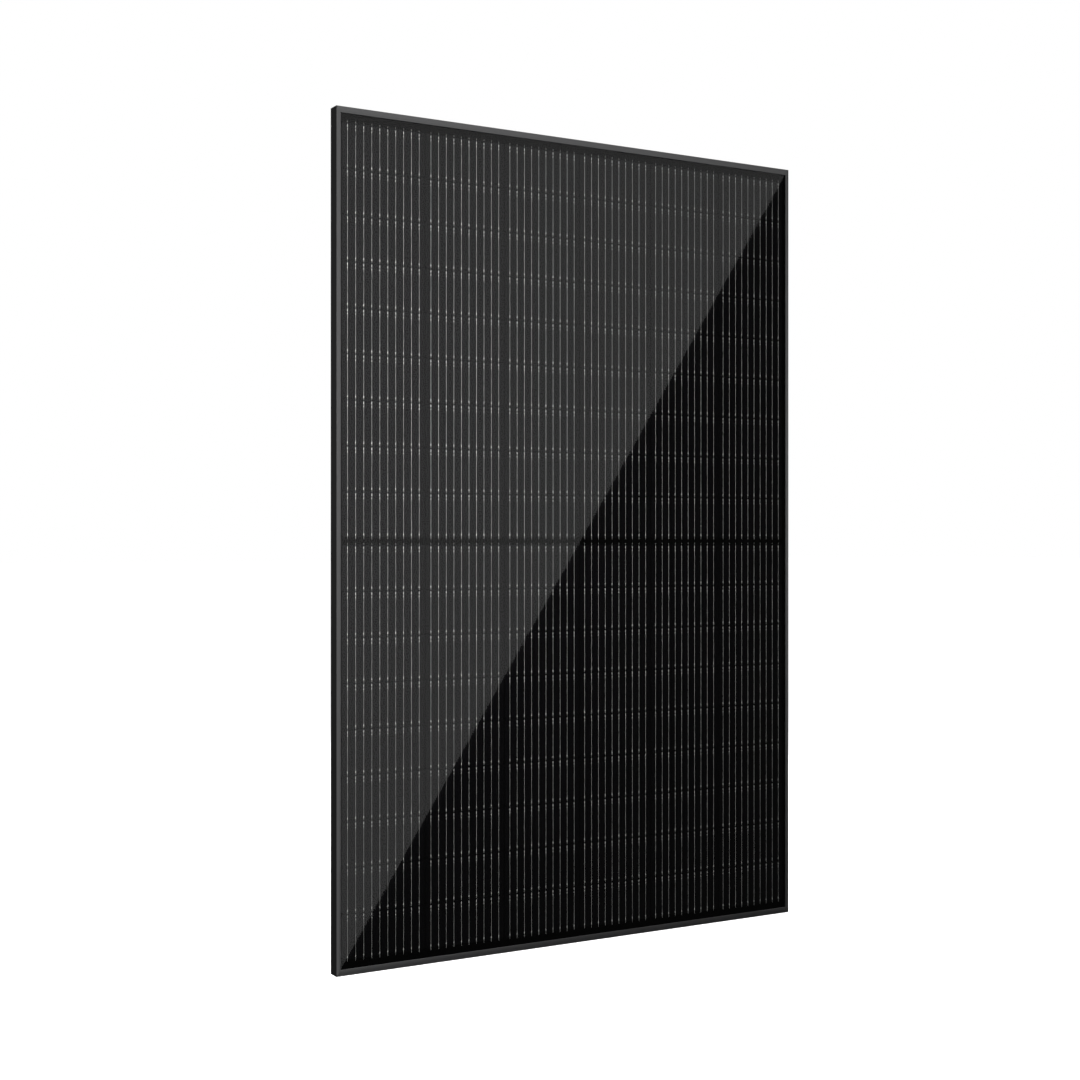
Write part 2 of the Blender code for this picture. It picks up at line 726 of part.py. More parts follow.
def add_gland(where, box, base, materials, meshes):
    """A cable gland through the box's end wall; the cap nut's origin is on the axis it turns about."""
    outside = (BOX_HALF_X, GLAND_DEPTH, 0)
    hole_outline = [(GLAND_DEPTH + u, v) for u, v in circle(GLAND_HOLE)]
    hole_ends = (BOX_HALF_X - BOX_WALL - CUT_MARGIN, BOX_HALF_X + CUT_MARGIN)
    hole = skin(f"gland_hole_{where}", [ring_at_x(hole_outline, x) for x in hole_ends], False)
    add_boolean(base, "DIFFERENCE", hole)
    add_object(f"gland_body_{where}", meshes["gland_body"], materials["housing"], box, outside)
    add_object(f"gland_seal_{where}", meshes["gland_seal"], materials["seal"], box, outside)
    nut_x = BOX_HALF_X + 2 * ROUND_GAP + GLAND_FLANGE_THICKNESS
    nut_location = (nut_x, GLAND_DEPTH, 0)
    add_object(f"gland_nut_{where}", meshes["gland_nut"], materials["housing"], box, nut_location)


def build_junction_boxes(module, materials, layers):
    adhesive = adhesive_mesh(layers["backsheet"][1] + GAP)
    base_mesh, lid_mesh = box_base_mesh(), box_lid_mesh()
    glands = gland_meshes()
    for where in BOX_COLUMN_EDGES:
        turn = math.pi if where == "left" else 0
        middle = (box_x(where), 0, MODULE_HEIGHT / 2)
        box = add_empty(f"junction_box_{where}", module, middle, turn)
        add_object(f"box_adhesive_{where}", adhesive, materials["seal"], box)
        base = add_object(f"box_base_{where}", base_mesh, materials["housing"], box)
        lid_place = (0, BOX_RIM_DEPTH + LID_GAP, 0)
        add_object(f"box_lid_{where}", lid_mesh, materials["housing"], box, lid_place)
        add_terminal(f"terminal_a_{where}", box, materials["ribbon"], 0)
        add_terminal(f"terminal_b_{where}", box, materials["ribbon"], math.pi)
        add_diode(f"bypass_diode_{where}", box, materials)
        if where != "centre":
            add_gland(where, box, base, materials, glands)


def build():
    clear_scene()
    materials = make_materials()
    layers = laminate_layers()
    module = add_empty("module", location=(0, -MODULE_DEPTH / 2, 0))
    build_rails(module, materials["frame"])
    build_corner_keys(module, materials["key"])
    build_edge_seal(module, materials["seal"], layers)
    build_sheets(module, materials, layers)
    build_cell_strings(module, materials["cell"], layers)
    build_ribbons(module, materials["ribbon"], layers)
    build_junction_boxes(module, materials, layers)


build()
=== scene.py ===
"""The looks of a framed solar module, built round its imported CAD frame.

The module stands on the floor at Z = 0 with its glass towards -Y. The frame, the seal, the
ribbons, the backsheet, the glands and what the junction boxes hold keep their CAD meshes and
get a finish each. This script makes the cells with their wires, the film behind them, the
glass pane, the boxes' trays and lids, the cap nuts, and a white studio.
"""

import math

import bmesh
import bpy
from mathutils import Matrix, Vector


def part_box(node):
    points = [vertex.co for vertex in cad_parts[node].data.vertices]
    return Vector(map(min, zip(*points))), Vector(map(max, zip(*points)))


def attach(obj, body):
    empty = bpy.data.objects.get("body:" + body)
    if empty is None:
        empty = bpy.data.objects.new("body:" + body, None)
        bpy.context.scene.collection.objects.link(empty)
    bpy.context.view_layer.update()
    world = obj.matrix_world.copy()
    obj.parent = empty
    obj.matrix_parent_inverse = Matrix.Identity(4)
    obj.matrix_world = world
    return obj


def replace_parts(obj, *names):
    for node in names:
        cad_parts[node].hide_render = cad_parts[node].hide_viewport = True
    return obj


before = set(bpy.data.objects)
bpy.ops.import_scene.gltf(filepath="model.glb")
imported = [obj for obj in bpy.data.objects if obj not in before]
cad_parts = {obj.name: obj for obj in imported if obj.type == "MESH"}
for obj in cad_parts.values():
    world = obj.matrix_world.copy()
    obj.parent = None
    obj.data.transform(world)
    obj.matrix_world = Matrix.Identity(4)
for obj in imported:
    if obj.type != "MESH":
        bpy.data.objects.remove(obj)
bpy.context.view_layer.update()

MM = 0.001

# Camera, as it stood for the photograph
CAMERA_PLACE = Vector((-1.8735, -3.0404, 0.8629))
CAMERA_HEADING = math.radians(30.354)  # to the right of +Y
CAMERA_LENS = 55.23
CAMERA_SENSOR = 36.0
CAMERA_SHIFT_Y = 0.0002

# Cells
CELLS_IN_STRING = 9
CELL_GAP = 0.56 * MM
CELL_CHAMFER = 4 * MM
CELL_THICKNESS = 0.2 * MM
FINGER_PITCH = 1.3 * MM
FINGER_HALF_WIDTH = 0.02 * MM
PAD_HALF_WIDTH = 0.6 * MM
# Solder pads under a wire: height above the cell's lower edge, and half length
PADS = (
    (5.7 * MM, 1.9 * MM),
    (78.0 * MM, 1.3 * MM),
    (85.2 * MM, 1.9 * MM),
)

# Wires on the cells; each starts WIRE_START below its cell's upper edge, runs down the cell, and
# from WIRE_BEND above the lower edge dips by WIRE_DIP into the gap
WIRES = 10
WIRE_PITCH = 17.58 * MM
WIRE_RADIUS = 0.18 * MM
WIRE_SIDES = 8
WIRE_START = 2.2 * MM
WIRE_BEND = 1.7 * MM
WIRE_DIP = 1.5 * WIRE_RADIUS
WIRE_TO_RIBBON = 3.6 * MM  # how far the wires reach past a string's ends
WIRE_EDGE_ANGLE = math.radians(60)

# Glass and the film behind the cells
PANE_BEVEL = 0.4 * MM
GLASS_REFLECTION = 0.04
TAIL_FROM_BOX = 12 * MM
TAIL_SLIT = (1.2 * MM, 7 * MM)  # width and height

# The coating on that film and on the ribbons, darker than a real one so that the band at
# mid height comes out as dark as in the photograph
COATING_DARK = (0.0001, 0.0001, 0.0001)
COATING_LIGHT = (0.0002, 0.0002, 0.0002)

# Junction boxes, with the side that the cable gland is on
BOXES = {"left": -1, "centre": 0, "right": 1}
BOX_CORNER = 6 * MM
BOX_WALL = 2.2 * MM
BOX_FLOOR = 2 * MM
BOX_ROUNDING = 0.8 * MM
FLOOR_OPENING = (13.4 * MM, 4.5 * MM)  # half width and half height
SMALLEST_CORNER = 1 * MM
LID_THICKNESS = 2 * MM
LID_GAP = 0.1 * MM
SKIRT_OUTSIDE = 2.5 * MM
SKIRT_INSIDE = 4 * MM
PANEL_INSET = 9 * MM
PANEL_RISE = 0.7 * MM
FIELD_INSET = 12 * MM
FIELD_DEPTH = 0.4 * MM
GRIP_RIBS = 7
GRIP_PITCH = 5 * MM
GRIP_WIDTH = 1.4 * MM
CLIP_AT = 22 * MM
CLIP_WIDTH = 9 * MM
CLIP_THICKNESS = 1.2 * MM
CLIP_DEPTH = 7 * MM
CLIP_TOE_EASE = 0.2 * MM
CLIP_TOE_SHARE = 0.1  # of the clip's depth
CLIP_BACK_EASE = 0.3 * MM
SOFT_CORNER_SHARE = 0.4  # of a rib's or a clip's smaller half width
MOULDED_EDGE_ANGLE = math.radians(35)
CORNER_STEPS = 10
EDGE_STEPS = 4

# Cable glands, along the axis from the outside of the box's wall
GLAND_HOLE = 5 * MM
GLAND_POINTS = 72
NUT_BORE = 5.1 * MM
NUT_HOLE = 3.2 * MM
NUT_APOTHEM = 6.4 * MM
NUT_CORNER = 6.9 * MM
NUT_END_WALL = 2.2 * MM
NUT_FLATS_SHARE = 0.62
NUT_DOME = 4.9 * MM
NUT_CHAMFER = 0.5 * MM
NUT_EASE = 0.3 * MM

# Widths of the frame's lips over the glass
SIDE_LIP = 9 * MM
END_LIP = 13 * MM

# The card that the glass mirrors; distances in metres
GLARE_DISTANCE = 2.2
GLARE_RADIANCE = 0.52
GLARE_BEYOND_ENDS = 1.5
GLARE_BEYOND_CORNER = 2.4

# The key light, and the softboxes that face the module's middle: place, size and radiance
KEY_PLACE = (-0.85, -0.95, 1.2)
KEY_TARGET = (-0.1, 0, 1.0)
KEY_SIZE = (0.7, 0.9)
KEY_RADIANCE = 10.8
SOFTBOXES = {
    "right": ((4.7, -3.5, 1.15), (1.8, 2.0), 1.5),
    "overhead": ((0.0, -0.5, 4.5), (3.0, 2.0), 4.5),
    "rear_high": ((0.9, 2.6, 2.5), (2.4, 1.6), 7.0),
    "rear_side": ((2.5, 2.0, 0.9), (1.2, 1.6), 6.0),
}

# The room's strength on matt surfaces and in reflections
WORLD_FILL = 0.06
WORLD_GLOSS = 0.03
FLOOR_HALF_WIDTH = 60.0


# ---------------------------------------------------------------- node helpers


def start_material(name):
    material = bpy.data.materials.new(name)
    material.use_nodes = True
    return material, material.node_tree, material.node_tree.nodes["Principled BSDF"]


def add_node(tree, kind, inputs=None, **settings):
    """A node with its settings, and its inputs by name or number, each a value or a socket to link."""
    node = tree.nodes.new(kind)
    for name, value in settings.items():
        setattr(node, name, value)
    for key, value in (inputs or {}).items():
        if isinstance(value, bpy.types.NodeSocket):
            tree.links.new(value, node.inputs[key])
        else:
            node.inputs[key].default_value = value
    return node


def calculate(tree, operation, *values, clamp=False):
    node = add_node(tree, "ShaderNodeMath", dict(enumerate(values)), operation=operation, use_clamp=clamp)
    return node.outputs[0]


def feed(tree, socket, value):
    """Link a socket to another one, or set it to a value; an RGB triple gets an alpha of 1."""
    if isinstance(value, bpy.types.NodeSocket):
        tree.links.new(value, socket)
    else:
        socket.default_value = (*value, 1.0) if isinstance(value, tuple) else value


def mix_colours(tree, factor, first, second):
    """A colour between two, each an RGB triple or a socket."""
    node = tree.nodes.new("ShaderNodeMix")
    node.data_type = "RGBA"
    sockets = {socket.identifier: socket for socket in node.inputs}
    feed(tree, sockets["Factor_Float"], factor)
    feed(tree, sockets["A_Color"], first)
    feed(tree, sockets["B_Color"], second)
    return next(socket for socket in node.outputs if socket.identifier == "Result_Color")


def place_in_object(tree):
    """The point's X, Y and Z in its object, in metres, and the vector of all three."""
    vector = add_node(tree, "ShaderNodeTexCoord").outputs["Object"]
    parts = add_node(tree, "ShaderNodeSeparateXYZ", {0: vector})
    return (*parts.outputs, vector)


def grain(tree, vector, size, stretch=(1, 1, 1), detail=2.0):
    """Noise from 0 to 1 with features of about that size, drawn out by stretch."""
    scale = [1 / (size * amount) for amount in stretch]
    mapped = add_node(tree, "ShaderNodeMapping", {"Vector": vector, "Scale": scale})
    inputs = {"Vector": mapped.outputs[0], "Scale": 1.0, "Detail": detail}
    return add_node(tree, "ShaderNodeTexNoise", inputs).outputs[0]


def spread(tree, value, low, high, from_low=0.3, from_high=0.7):
    """A noise value mapped onto the range low to high."""
    inputs = {"Value": value, "From Min": from_low, "From Max": from_high, "To Min": low, "To Max": high}
    return add_node(tree, "ShaderNodeMapRange", inputs).outputs[0]


def bump(tree, height, distance, strength=1.0):
    inputs = {"Height": height, "Distance": distance, "Strength": strength}
    return add_node(tree, "ShaderNodeBump", inputs).outputs[0]


def set_inputs(tree, shader, **inputs):
    """Set a shader's sockets; an underscore in a name stands for a space."""
    for name, value in inputs.items():
        feed(tree, shader.inputs[name.replace("_", " ")], value)


# ---------------------------------------------------------------- materials


def frame_material(name, along):
    """Black anodised aluminium: a satin grain, with faint extrusion lines along the rail."""
    material, tree, shader = start_material(name)
    vector = place_in_object(tree)[-1]
    stretch = [400 if axis == along else 1 for axis in "xyz"]
    lines = grain(tree, vector, 0.5 * MM, stretch)
    satin = grain(tree, vector, 0.25 * MM)
    clouds = grain(tree, vector, 60 * MM)
    height = calculate(tree, "ADD", calculate(tree, "MULTIPLY", lines, 0.6), satin)
    colour = mix_colours(tree, clouds, (0.15, 0.15, 0.152), (0.17, 0.17, 0.172))
    set_inputs(
        tree,
        shader,
        Base_Color=colour,
        Roughness=spread(tree, lines, 0.37, 0.45),
        Metallic=0.9,
        Normal=bump(tree, height, 0.006 * MM),
    )
    return material


def cell_material():
    """Blue-black silicon with fine silver fingers and solder pads; each cell has its own shade."""
    material, tree, shader = start_material("mono_cell")
    x, _, z, vector = place_in_object(tree)
    pitch = cell_height() + CELL_GAP
    number = calculate(tree, "FLOOR", calculate(tree, "DIVIDE", z, pitch))
    along = calculate(tree, "FLOORED_MODULO", z, pitch)
    from_wire = calculate(tree, "PINGPONG", calculate(tree, "SUBTRACT", x, wire_inset()), WIRE_PITCH / 2)
    in_pad_row = [calculate(tree, "COMPARE", along, height, half) for height, half in PADS]
    any_row = calculate(tree, "MAXIMUM", in_pad_row[0], calculate(tree, "MAXIMUM", *in_pad_row[1:]))
    pads = calculate(tree, "MULTIPLY", any_row, calculate(tree, "COMPARE", from_wire, 0.0, PAD_HALF_WIDTH))
    from_finger = calculate(tree, "PINGPONG", along, FINGER_PITCH / 2)
    fingers = calculate(tree, "LESS_THAN", from_finger, FINGER_HALF_WIDTH)

    object_place = add_node(tree, "ShaderNodeObjectInfo").outputs["Location"]
    string_place = add_node(tree, "ShaderNodeSeparateXYZ", {0: object_place})
    cell_place = add_node(
        tree,
        "ShaderNodeCombineXYZ",
        {0: string_place.outputs[0], 1: string_place.outputs[2], 2: number},
    )
    own = add_node(tree, "ShaderNodeTexWhiteNoise", {"Vector": cell_place.outputs[0]}).outputs[0]
    clouds = grain(tree, vector, 70 * MM)
    own_part = calculate(tree, "MULTIPLY", own, 0.7)
    cloud_part = calculate(tree, "MULTIPLY", clouds, 0.3)
    shade = calculate(tree, "ADD", own_part, cloud_part)
    silicon = mix_colours(tree, shade, (0.0008, 0.0008, 0.0012), (0.0018, 0.0016, 0.0021))
    with_fingers = mix_colours(tree, calculate(tree, "MULTIPLY", fingers, 0.05), silicon, (0.4, 0.4, 0.4))
    set_inputs(
        tree,
        shader,
        Base_Color=mix_colours(tree, pads, with_fingers, (0.8, 0.8, 0.79)),
        Roughness=spread(tree, pads, 0.04, 0.4, 0.0, 1.0),
        Specular_IOR_Level=0.15,
    )
    return material


def metal_material(name, colour, rough, grain_size):
    """Bare metal whose dull and bright patches have the size grain_size."""
    material, tree, shader = start_material(name)
    vector = place_in_object(tree)[-1]
    patches = grain(tree, vector, grain_size)
    fine = grain(tree, vector, 0.15 * MM)
    darker = tuple(0.8 * channel for channel in colour)
    set_inputs(
        tree,
        shader,
        Base_Color=mix_colours(tree, patches, darker, colour),
        Roughness=spread(tree, patches, rough - 0.08, rough + 0.08),
        Metallic=1.0,
        Normal=bump(tree, fine, 0.01 * MM, 0.5),
    )
    return material


def wire_material():
    """Solder coated copper, half matt, with duller stretches along the wire."""
    material, tree, shader = start_material("tinned_wire")
    vector = place_in_object(tree)[-1]
    stretches = grain(tree, vector, 9 * MM, (1, 1, 2), detail=3.0)
    set_inputs(
        tree,
        shader,
        Base_Color=mix_colours(tree, stretches, (0.66, 0.66, 0.65), (0.9, 0.9, 0.89)),
        Roughness=spread(tree, stretches, 0.3, 0.45),
        Metallic=0.15,
    )
    return material


def film_material():
    """The black film behind the cells, seen through the glass."""
    material, tree, shader = start_material("black_rear_film")
    vector = place_in_object(tree)[-1]
    clouds = grain(tree, vector, 25 * MM)
    set_inputs(
        tree,
        shader,
        Base_Color=mix_colours(tree, clouds, COATING_DARK, COATING_LIGHT),
        Roughness=spread(tree, clouds, 0.5, 0.6),
        Specular_IOR_Level=0.01,
    )
    return material


def ribbon_material(coated_to):
    """Tinned copper, black coated on the front as far back as Y = coated_to."""
    material, tree, shader = start_material("coated_ribbon")
    _, y, _, vector = place_in_object(tree)
    bare = calculate(tree, "GREATER_THAN", y, coated_to)
    patches = grain(tree, vector, 3 * MM)
    coating = mix_colours(tree, patches, COATING_DARK, COATING_LIGHT)
    tin = mix_colours(tree, patches, (0.55, 0.55, 0.53), (0.7, 0.7, 0.68))
    set_inputs(
        tree,
        shader,
        Base_Color=mix_colours(tree, bare, coating, tin),
        Roughness=spread(tree, patches, 0.3, 0.45),
        Metallic=bare,
        Specular_IOR_Level=0.01,
    )
    return material


def glass_material():
    """The front face of the pane: clear, with a reflection that grows towards grazing angles."""
    material, tree, principled = start_material("clear_glass")
    tree.nodes.remove(principled)
    vector = place_in_object(tree)[-1]
    facing = add_node(tree, "ShaderNodeLayerWeight", {"Blend": 0.5}).outputs["Facing"]
    grazing = calculate(tree, "POWER", facing, 5.0)
    share = calculate(tree, "MULTIPLY_ADD", grazing, 1 - GLASS_REFLECTION, GLASS_REFLECTION)
    smears = grain(tree, vector, 90 * MM, detail=4.0)
    clear = add_node(tree, "ShaderNodeBsdfTransparent", {"Color": (0.97, 0.975, 0.97, 1.0)})
    gloss = add_node(
        tree,
        "ShaderNodeBsdfAnisotropic",
        {"Color": (1.0, 1.0, 1.0, 1.0), "Roughness": spread(tree, smears, 0.004, 0.02)},
    )
    mixed = add_node(tree, "ShaderNodeMixShader", {0: share, 1: clear.outputs[0], 2: gloss.outputs[0]})
    tree.links.new(mixed.outputs[0], tree.nodes["Material Output"].inputs["Surface"])
    return material


def bonded_glass_material():
    """The pane's rear and edges, bonded to the film and the seal, so nothing is reflected there."""
    material, tree, principled = start_material("bonded_glass")
    tree.nodes.remove(principled)
    haze = grain(tree, place_in_object(tree)[-1], 40 * MM)
    tint = mix_colours(tree, haze, (0.985, 0.99, 0.985), (0.995, 1.0, 0.995))
    clear = add_node(tree, "ShaderNodeBsdfTransparent", {"Color": tint})
    tree.links.new(clear.outputs[0], tree.nodes["Material Output"].inputs["Surface"])
    return material


def backsheet_material():
    """Black embossed polymer with the cells' edges showing through as faint ridges."""
    material, tree, shader = start_material("black_backsheet")
    x, _, z, vector = place_in_object(tree)
    low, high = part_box("cell_string_upper_1")
    next_low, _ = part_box("cell_string_upper_2")
    column_pitch = next_low.x - low.x
    gap_x = (high.x + next_low.x) / 2
    from_column = calculate(tree, "PINGPONG", calculate(tree, "SUBTRACT", x, gap_x), column_pitch / 2)
    middle = module_middle()
    from_middle = calculate(tree, "ABSOLUTE", calculate(tree, "SUBTRACT", z, middle))
    row_pitch = cell_height() + CELL_GAP
    in_half = calculate(tree, "SUBTRACT", from_middle, low.z - middle - CELL_GAP / 2)
    from_row = calculate(tree, "PINGPONG", in_half, row_pitch / 2)
    nearest = calculate(tree, "MINIMUM", from_column, from_row)
    ridge = spread(tree, nearest, 1.0, 0.0, 0.5 * MM, 5 * MM)
    emboss = grain(tree, vector, 0.5 * MM)
    clouds = grain(tree, vector, 45 * MM, detail=4.0)
    height = calculate(tree, "MULTIPLY_ADD", emboss, 0.35, ridge)
    set_inputs(
        tree,
        shader,
        Base_Color=mix_colours(tree, clouds, (0.014, 0.014, 0.015), (0.022, 0.022, 0.023)),
        Roughness=spread(tree, emboss, 0.42, 0.58),
        Normal=bump(tree, height, 0.08 * MM),
    )
    return material


def plastic_material(name, colour, rough):
    """Moulded plastic with a spark-eroded texture."""
    material, tree, shader = start_material(name)
    vector = place_in_object(tree)[-1]
    sparks = grain(tree, vector, 0.35 * MM, detail=3.0)
    clouds = grain(tree, vector, 18 * MM)
    lighter = tuple(1.35 * channel for channel in colour)
    set_inputs(
        tree,
        shader,
        Base_Color=mix_colours(tree, clouds, colour, lighter),
        Roughness=spread(tree, sparks, rough - 0.07, rough + 0.07),
        Normal=bump(tree, sparks, 0.04 * MM),
    )
    return material


def rubber_material(name, colour, rough):
    material, tree, shader = start_material(name)
    vector = place_in_object(tree)[-1]
    dust = grain(tree, vector, 4 * MM, detail=4.0)
    skin = grain(tree, vector, 0.8 * MM)
    lighter = tuple(1.8 * channel for channel in colour)
    set_inputs(
        tree,
        shader,
        Base_Color=mix_colours(tree, dust, colour, lighter),
        Roughness=spread(tree, skin, rough - 0.06, rough + 0.06),
        Normal=bump(tree, skin, 0.05 * MM),
    )
    return material


# ---------------------------------------------------------------- meshes


def module_middle():
    low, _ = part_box("frame_rail_bottom")
    _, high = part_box("frame_rail_top")
    return (low.z + high.z) / 2


def cell_height():
    low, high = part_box("cell_string_upper_1")
    return (high.z - low.z - (CELLS_IN_STRING - 1) * CELL_GAP) / CELLS_IN_STRING


def cell_width():
    low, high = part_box("cell_string_upper_1")
    return high.x - low.x


def wire_inset():
    return (cell_width() - (WIRES - 1) * WIRE_PITCH) / 2


def finish_mesh(name, bm, smooth_below=0.0):
    bmesh.ops.recalc_face_normals(bm, faces=bm.faces[:])
    mesh = bpy.data.meshes.new(name)
    bm.to_mesh(mesh)
    bm.free()
    if smooth_below:
        mesh.shade_smooth()
        mesh.set_sharp_from_angle(angle=smooth_below)
    return mesh


def fill_and_extrude(bm, loops, front, back):
    """A closed sheet between two Y values; loops hold (X, Z) points, and one inside another is a hole."""
    edges = []
    for loop in loops:
        verts = [bm.verts.new((x, front, z)) for x, z in loop]
        edges += [bm.edges.new(ends) for ends in zip(verts, verts[1:] + verts[:1])]
    filled = bmesh.ops.triangle_fill(bm, use_beauty=True, edges=edges)["geom"]
    faces = [item for item in filled if isinstance(item, bmesh.types.BMFace)]
    grown = bmesh.ops.extrude_face_region(bm, geom=faces)["geom"]
    far_side = [item for item in grown if isinstance(item, bmesh.types.BMVert)]
    bmesh.ops.translate(bm, vec=(0, back - front, 0), verts=far_side)


def rectangle(low_x, high_x, low_z, high_z):
    return [(low_x, low_z), (high_x, low_z), (high_x, high_z), (low_x, high_z)]


def add_wall(bm, ring, after):
    for i, corner in enumerate(ring):
        j = (i + 1) % len(ring)
        bm.faces.new((corner, ring[j], after[j], after[i]))


def cells_mesh():
    """A string's half cells on top of each other, the lower two corners of each cut off."""
    bm = bmesh.new()
    width, height = cell_width(), cell_height()
    for number in range(CELLS_IN_STRING):
        low = number * (height + CELL_GAP)
        outline = [
            (CELL_CHAMFER, low),
            (width - CELL_CHAMFER, low),
            (width, low + CELL_CHAMFER),
            (width, low + height),
            (0, low + height),
            (0, low + CELL_CHAMFER),
        ]
        fill_and_extrude(bm, [outline], 0, CELL_THICKNESS)
    return finish_mesh("cells", bm)


def add_wire(bm, x, path):
    """A round wire at X through (Y, Z) points."""
    rings = []
    for y, z in path:
        turns = [2 * math.pi * side / WIRE_SIDES for side in range(WIRE_SIDES)]
        points = [(x + WIRE_RADIUS * math.cos(t), y + WIRE_RADIUS * math.sin(t), z) for t in turns]
        rings.append([bm.verts.new(point) for point in points])
    bm.faces.new(rings[0])
    bm.faces.new(rings[-1])
    for ring, after in zip(rings, rings[1:]):
        add_wall(bm, ring, after)


def wires_mesh():
    """The wires on each cell of a string; they dip into the gap below and run out at both ends."""
    bm = bmesh.new()
    pitch = cell_height() + CELL_GAP
    top = CELLS_IN_STRING * pitch - CELL_GAP
    on_cell = -WIRE_RADIUS
    for wire in range(WIRES):
        x = wire_inset() + wire * WIRE_PITCH
        add_wire(bm, x, [(on_cell, -WIRE_TO_RIBBON), (on_cell, WIRE_BEND), (on_cell, pitch / 2)])
        for number in range(CELLS_IN_STRING):
            low = number * pitch
            start = low + cell_height() - WIRE_START
            end = low + pitch / 2 if number == 0 else low + WIRE_BEND
            path = [(on_cell, start), (on_cell, end)]
            if number:
                path.append((on_cell + WIRE_DIP, low - CELL_GAP / 2))
            add_wire(bm, x, path)
        add_wire(bm, x, [(on_cell, top + CELL_GAP), (on_cell, top + WIRE_TO_RIBBON)])
    return finish_mesh("wires", bm, WIRE_EDGE_ANGLE)


def add_piece(name, mesh, material, place=(0, 0, 0), body="panel"):
    piece = bpy.data.objects.new(name, mesh)
    piece.location = place
    bpy.context.scene.collection.objects.link(piece)
    if not mesh.materials:
        mesh.materials.append(material)
    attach(piece, body)
    return piece


def build_strings(cell, wire):
    cells, wires = cells_mesh(), wires_mesh()
    for node in sorted(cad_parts):
        if node.startswith("cell_string_"):
            low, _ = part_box(node)
            label = node.removeprefix("cell_string_")
            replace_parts(add_piece(f"cells_{label}", cells, cell, low), node)
            add_piece(f"wires_{label}", wires, wire, low)


def build_rear_film(film):
    """The film behind the cells, slit only where a ribbon's tail goes through it."""
    low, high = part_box("rear_encapsulant")
    loops = [rectangle(low.x, high.x, low.z, high.z)]
    for where in BOXES:
        box_low, box_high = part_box(f"box_base_{where}")
        centre = (box_low + box_high) / 2
        for side in (-1, 1):
            x = centre.x + side * TAIL_FROM_BOX
            half_x, half_z = TAIL_SLIT[0] / 2, TAIL_SLIT[1] / 2
            loops.append(rectangle(x - half_x, x + half_x, centre.z - half_z, centre.z + half_z))
    bm = bmesh.new()
    fill_and_extrude(bm, loops, low.y, high.y)
    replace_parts(add_piece("rear_film", finish_mesh("rear_film", bm), film), "rear_encapsulant")


def build_pane(clear, bonded):
    """The glass with its edges eased; it also stands for the clear film behind it."""
    low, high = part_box("front_glass")
    rings = []
    bm = bmesh.new()
    steps = [(PANE_BEVEL, low.y), (0, low.y + PANE_BEVEL), (0, high.y - PANE_BEVEL), (PANE_BEVEL, high.y)]
    for inset, y in steps:
        outline = rectangle(low.x + inset, high.x - inset, low.z + inset, high.z - inset)
        rings.append([bm.verts.new((x, y, z)) for x, z in outline])
    front = bm.faces.new(rings[0])
    bm.faces.new(rings[-1])
    for ring, after in zip(rings, rings[1:]):
        add_wall(bm, ring, after)
    for face in bm.faces:
        face.material_index = 0 if face == front else 1
    mesh = finish_mesh("glass_pane", bm)
    mesh.materials.append(clear)
    mesh.materials.append(bonded)
    pane = add_piece("glass_pane", mesh, clear)
    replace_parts(pane, "front_glass", "front_encapsulant")


# ---------------------------------------------------------------- junction boxes


def arc(centre, radius, start, end, steps):
    """Points on an arc from the angle start to the angle end, both included."""
    angles = [start + (end - start) * step / steps for step in range(steps + 1)]
    return [(centre[0] + radius * math.cos(a), centre[1] + radius * math.sin(a)) for a in angles]


def rounded_ring(half_x, half_z, corner, y):
    """A rounded rectangle round the origin at the depth Y."""
    points = []
    for quarter, (side_x, side_z) in enumerate([(1, 1), (-1, 1), (-1, -1), (1, -1)]):
        centre = (side_x * (half_x - corner), side_z * (half_z - corner))
        start = quarter * math.pi / 2
        points += arc(centre, corner, start, start + math.pi / 2, CORNER_STEPS)
    return [(x, y, z) for x, z in points]


def rounded_ring_at(x, z, half_x, half_z, y):
    """A rectangle with softened corners round (X, Z)."""
    corner = SOFT_CORNER_SHARE * min(half_x, half_z)
    return [(x + u, depth, z + v) for u, depth, v in rounded_ring(half_x, half_z, corner, y)]


def round_ring(radius, x, axis_y):
    turns = [2 * math.pi * i / GLAND_POINTS for i in range(GLAND_POINTS)]
    return [(x, axis_y + radius * math.cos(turn), radius * math.sin(turn)) for turn in turns]


def box_ring(half, inset, y):
    corner = max(BOX_CORNER - inset, SMALLEST_CORNER)
    return rounded_ring(half.x - inset, half.z - inset, corner, y)


def skin_rings(bm, rings, closed):
    rows = [[bm.verts.new(point) for point in ring] for ring in rings]
    for row, after in zip(rows, rows[1:]):
        add_wall(bm, row, after)
    if closed:
        add_wall(bm, rows[-1], rows[0])
    else:
        bm.faces.new(rows[0])
        bm.faces.new(rows[-1])


def skin(name, rings, closed, smooth_below=MOULDED_EDGE_ANGLE):
    """A surface through rings of equally many points: a closed ring of them, or capped at both ends."""
    bm = bmesh.new()
    skin_rings(bm, rings, closed)
    return finish_mesh(name, bm, smooth_below)


def base_mesh(half, front, rim):
    """An open tray with rounded outer edges, whose floor lets the ribbon tails through."""
    r = BOX_ROUNDING
    floor = front + BOX_FLOOR
    lip = r / 3
    front_edge = arc((r, r), r, 1.5 * math.pi, math.pi, EDGE_STEPS)
    rim_edge = arc((lip, 0), lip, math.pi, math.pi / 2, EDGE_STEPS)
    outside = [(inset, front + depth) for inset, depth in front_edge]
    outside += [(inset, rim - lip + depth) for inset, depth in rim_edge]
    rings = [rounded_ring(*FLOOR_OPENING, SMALLEST_CORNER, front)]
    rings += [box_ring(half, inset, y) for inset, y in outside]
    rings += [box_ring(half, BOX_WALL, rim), box_ring(half, BOX_WALL, floor)]
    rings.append(rounded_ring(*FLOOR_OPENING, SMALLEST_CORNER, floor))
    return skin("box_base", rings, True)


